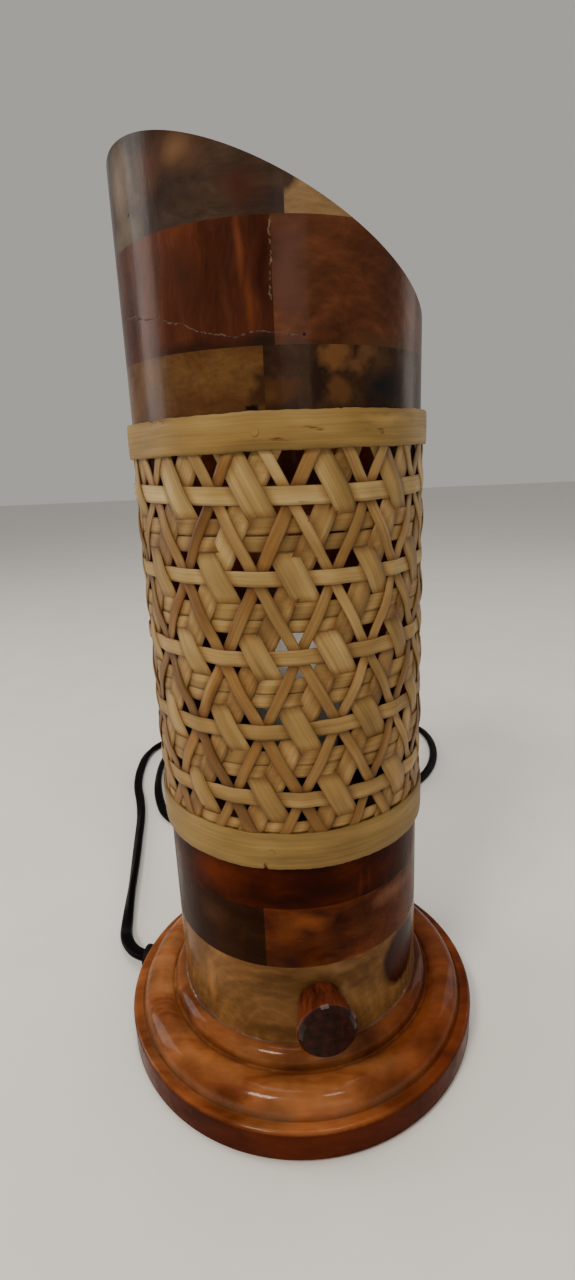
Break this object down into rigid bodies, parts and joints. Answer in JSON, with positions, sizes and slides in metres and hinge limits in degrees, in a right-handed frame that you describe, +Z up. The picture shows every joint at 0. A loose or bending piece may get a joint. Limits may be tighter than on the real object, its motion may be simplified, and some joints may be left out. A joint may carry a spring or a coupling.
{
  "type": "table lamp",
  "caption": "Table lamp: slant-topped wooden tube glued up from segments on a turned base, with a woven bamboo window, a bulb inside, a dimmer knob and a mains cord.",
  "frame": {"origin": "centre of the base's underside, on the tube's axis, on the table", "axes": "+Z up along the tube; -Y is the front, where the knob is; the cord lies on the table behind, at +Y"},
  "size_m": [0.2451, 0.3902, 0.3266],
  "materials": {
    "lacquered_base": "glossy orange-brown lacquer",
    "fibreboard": "bare board",
    "felt": "felt",
    "screw_steel": "zinc plated",
    "greyish_wood": "glossy lacquer",
    "dark_wood": "glossy lacquer",
    "amber_wood": "glossy lacquer",
    "red_wood": "glossy lacquer",
    "light_brown_wood": "glossy lacquer",
    "burl_wood": "glossy lacquer",
    "tan_wood": "glossy lacquer",
    "back_wood": "glossy lacquer",
    "knob_wood": "glossy lacquer",
    "bamboo": "bare split bamboo",
    "black_plastic": "moulded",
    "white_plastic": "moulded",
    "brass": "bare",
    "bare_aluminium": "bare",
    "opal_globe": "opal white",
    "black_rubber": "matte",
    "cord_black": "flexible PVC",
    "lead_brown": "flexible PVC"
  },
  "bodies": {
    "lamp": {"back_wall_1": "back_wood", "back_wall_2": "back_wood", "back_wall_3": "back_wood", "back_wall_4": "back_wood", "base_cover": "fibreboard", "base_plinth": "lacquered_base", "bulb_cap": "bare_aluminium", "bulb_collar": "white_plastic", "bulb_globe": "opal_globe", "clamp_screws": "screw_steel", "cord": "cord_black", "cord_clamp": "black_plastic", "cord_coil": "cord_black", "cord_end": "cord_black", "cord_grommet": "black_rubber", "cord_inner": "cord_black", "cover_screws": "screw_steel", "dimmer_bush": "brass", "dimmer_case": "black_plastic", "dimmer_leads": "lead_brown", "dimmer_nut": "screw_steel", "felt_pad": "felt", "holder_contact": "brass", "holder_leads": "lead_brown", "holder_platform": "amber_wood", "holder_screws": "screw_steel", "hoop_bottom": "bamboo", "hoop_tacks": "screw_steel", "hoop_top": "bamboo", "lamp_holder": "black_plastic", "lower_ring_1": "greyish_wood", "lower_ring_2_amber": "amber_wood", "lower_ring_2_dark": "dark_wood", "lower_ring_3": "red_wood", "plug_body": "black_plastic", "plug_pins": "brass", "terminal_block": "white_plastic", "tube_screws": "screw_steel", "upper_ring_1_burl": "burl_wood", "upper_ring_1_light": "light_brown_wood", "upper_ring_2_brown": "dark_wood", "upper_ring_2_red": "red_wood", "upper_ring_3_dark": "dark_wood", "upper_ring_3_light": "tan_wood", "weave_sleeve": "bamboo"},
    "knob": {"dimmer_knob": "knob_wood", "dimmer_shaft": "screw_steel"}
  },
  "joints": [
    {"name": "knob_turn", "type": "hinge", "parent": "lamp", "child": "knob", "pos_m": [0.00671, -0.05026, 0.047], "axis": [0.1323, -0.9912, 0], "range_deg": [0, 270]}
  ]
}
